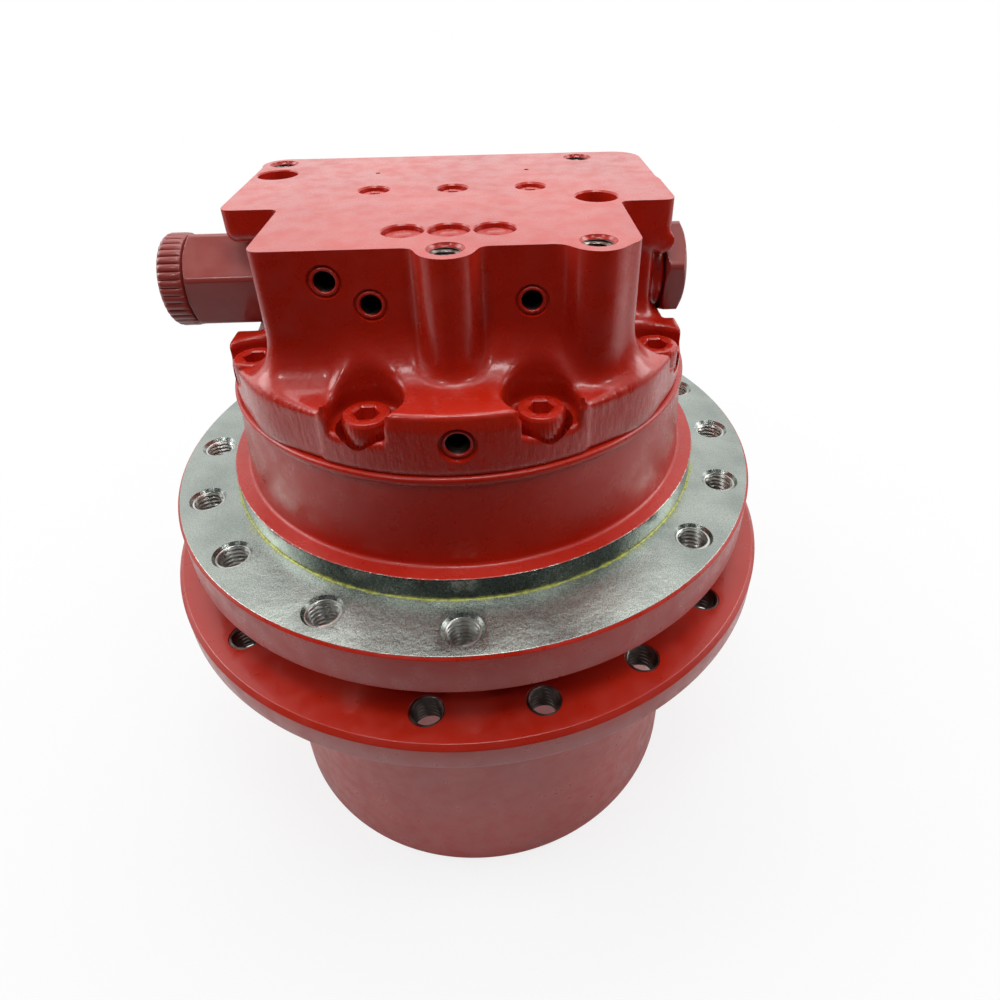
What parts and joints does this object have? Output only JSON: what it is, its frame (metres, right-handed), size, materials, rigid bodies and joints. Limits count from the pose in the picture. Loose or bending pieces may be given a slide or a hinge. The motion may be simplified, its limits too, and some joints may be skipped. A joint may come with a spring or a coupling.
{
  "type": "hydraulic travel final drive",
  "caption": "Track drive with a red motor casing and flat manifold face, a bare steel frame flange and a turning sprocket flange on a closed planetary gear drum.",
  "frame": {"origin": "centre of the frame flange's bare steel face", "axes": "+Z along the drive's axis towards the manifold face, -Y towards the front ports, -X towards the long valve plug"},
  "size_m": [0.214, 0.214, 0.23],
  "materials": {
    "red_paint": "gloss",
    "bare_steel": "machined",
    "dark_steel": "phosphated",
    "zinc_steel": "zinc plated",
    "bearing_steel": "ground",
    "gear_steel": "satin",
    "spring_steel": "oiled",
    "bronze": "satin",
    "friction_lining": "matt",
    "seal_iron": "lapped",
    "rubber": "matt"
  },
  "bodies": {
    "frame_side": {"spindle_housing": "bare_steel", "motor_casing": "red_paint", "casing_screws": "dark_steel", "left_valve_plug": "bare_steel", "left_plug_cap": "red_paint", "right_valve_plug": "bare_steel", "top_socket_plugs": "dark_steel", "top_disc_plugs": "zinc_steel", "left_spool_spring": "spring_steel", "right_spool_spring": "spring_steel", "bearing_nut": "dark_steel", "stage_2_planet_pins": "gear_steel", "stage_2_pin_plate": "gear_steel", "valve_plate": "bare_steel", "cylinder_block": "bare_steel", "motor_pistons": "bare_steel", "slippers": "bronze", "slipper_retainer": "bare_steel", "swash_plate": "bare_steel", "shaft_seal": "rubber", "brake_steel_discs": "bare_steel", "brake_friction_discs": "friction_lining", "brake_springs": "spring_steel", "upper_shaft_bearing_ring": "bearing_steel", "lower_shaft_bearing_ring": "bearing_steel", "main_inner_rings": "bearing_steel", "fixed_seal_ring": "seal_iron", "fixed_toric_ring": "rubber"},
    "hub": {"hub_housing": "red_paint", "sprocket_flange": "red_paint", "hub_seal_collar": "red_paint", "ring_gear": "gear_steel", "end_cover": "red_paint", "cover_plugs": "dark_steel", "cover_seal": "rubber", "cover_retaining_ring": "dark_steel", "cover_thrust_button": "bearing_steel", "hub_seal_ring": "seal_iron", "hub_toric_ring": "rubber", "main_outer_rings": "bearing_steel"},
    "upper_roller_set": {"upper_main_rollers": "bearing_steel"},
    "lower_roller_set": {"lower_main_rollers": "bearing_steel"},
    "stage_2_planet_a": {"stage_2_planet_1": "gear_steel", "stage_2_bush_1": "bronze"},
    "stage_2_planet_b": {"stage_2_planet_2": "gear_steel", "stage_2_bush_2": "bronze"},
    "stage_2_planet_c": {"stage_2_planet_3": "gear_steel", "stage_2_bush_3": "bronze"},
    "first_carrier": {"stage_2_sun": "gear_steel", "stage_1_carrier": "gear_steel", "stage_1_planet_pins": "gear_steel"},
    "stage_1_planet_a": {"stage_1_planet_1": "gear_steel"},
    "stage_1_planet_b": {"stage_1_planet_2": "gear_steel"},
    "stage_1_planet_c": {"stage_1_planet_3": "gear_steel"},
    "shaft": {"motor_shaft": "bare_steel", "stage_1_sun": "gear_steel"},
    "upper_shaft_roller_set": {"upper_shaft_bearing_rollers": "bearing_steel"},
    "lower_shaft_roller_set": {"lower_shaft_bearing_rollers": "bearing_steel"},
    "spool": {"counterbalance_spool": "bare_steel"},
    "brake_release_piston": {"brake_piston": "bare_steel"}
  },
  "joints": [
    {"name": "hub_spin", "type": "hinge", "parent": "frame_side", "child": "hub", "pos_m": [0, 0, 0], "axis": [0, 0, 1], "continuous": true},
    {"name": "upper_rollers_spin", "type": "hinge", "parent": "frame_side", "child": "upper_roller_set", "pos_m": [0, 0, 0], "axis": [0, 0, 1], "continuous": true},
    {"name": "lower_rollers_spin", "type": "hinge", "parent": "frame_side", "child": "lower_roller_set", "pos_m": [0, 0, 0], "axis": [0, 0, 1], "continuous": true},
    {"name": "stage_2_planet_a_spin", "type": "hinge", "parent": "frame_side", "child": "stage_2_planet_a", "pos_m": [0.039, 0, 0], "axis": [0, 0, 1], "continuous": true},
    {"name": "stage_2_planet_b_spin", "type": "hinge", "parent": "frame_side", "child": "stage_2_planet_b", "pos_m": [-0.0195, 0.03377, 0], "axis": [0, 0, 1], "continuous": true},
    {"name": "stage_2_planet_c_spin", "type": "hinge", "parent": "frame_side", "child": "stage_2_planet_c", "pos_m": [-0.0195, -0.03377, 0], "axis": [0, 0, 1], "continuous": true},
    {"name": "first_carrier_spin", "type": "hinge", "parent": "frame_side", "child": "first_carrier", "pos_m": [0, 0, 0], "axis": [0, 0, 1], "continuous": true},
    {"name": "stage_1_planet_a_spin", "type": "hinge", "parent": "first_carrier", "child": "stage_1_planet_a", "pos_m": [0.036, 0, 0], "axis": [0, 0, 1], "continuous": true},
    {"name": "stage_1_planet_b_spin", "type": "hinge", "parent": "first_carrier", "child": "stage_1_planet_b", "pos_m": [-0.018, 0.03118, 0], "axis": [0, 0, 1], "continuous": true},
    {"name": "stage_1_planet_c_spin", "type": "hinge", "parent": "first_carrier", "child": "stage_1_planet_c", "pos_m": [-0.018, -0.03118, 0], "axis": [0, 0, 1], "continuous": true},
    {"name": "shaft_spin", "type": "hinge", "parent": "frame_side", "child": "shaft", "pos_m": [0, 0, 0], "axis": [0, 0, 1], "continuous": true},
    {"name": "upper_shaft_rollers_spin", "type": "hinge", "parent": "frame_side", "child": "upper_shaft_roller_set", "pos_m": [0, 0, 0], "axis": [0, 0, 1], "continuous": true},
    {"name": "lower_shaft_rollers_spin", "type": "hinge", "parent": "frame_side", "child": "lower_shaft_roller_set", "pos_m": [0, 0, 0], "axis": [0, 0, 1], "continuous": true},
    {"name": "spool_slide", "type": "slide", "parent": "frame_side", "child": "spool", "axis": [1, 0, 0], "range_m": [-0.004, 0.004], "stiffness_N_per_m": 8000, "deforming": ["left_spool_spring", "right_spool_spring"]},
    {"name": "brake_release", "type": "slide", "parent": "frame_side", "child": "brake_release_piston", "axis": [0, 0, 1], "range_m": [0, 0.002], "stiffness_N_per_m": 20000, "springref_m": -0.002, "deforming": ["brake_springs"]}
  ],
  "couplings": [
    {"joint": "upper_rollers_spin", "follows": "hub_spin", "ratio": 0.53333},
    {"joint": "lower_rollers_spin", "follows": "hub_spin", "ratio": 0.53333},
    {"joint": "stage_2_planet_a_spin", "follows": "hub_spin", "ratio": 2.8571},
    {"joint": "stage_2_planet_b_spin", "follows": "hub_spin", "ratio": 2.8571},
    {"joint": "stage_2_planet_c_spin", "follows": "hub_spin", "ratio": 2.8571},
    {"joint": "first_carrier_spin", "follows": "hub_spin", "ratio": -3.3333},
    {"joint": "stage_1_planet_a_spin", "follows": "hub_spin", "ratio": 10.833},
    {"joint": "stage_1_planet_b_spin", "follows": "hub_spin", "ratio": 10.833},
    {"joint": "stage_1_planet_c_spin", "follows": "hub_spin", "ratio": 10.833},
    {"joint": "shaft_spin", "follows": "hub_spin", "ratio": -25},
    {"joint": "upper_shaft_rollers_spin", "follows": "hub_spin", "ratio": -10.227},
    {"joint": "lower_shaft_rollers_spin", "follows": "hub_spin", "ratio": -9.9206}
  ]
}
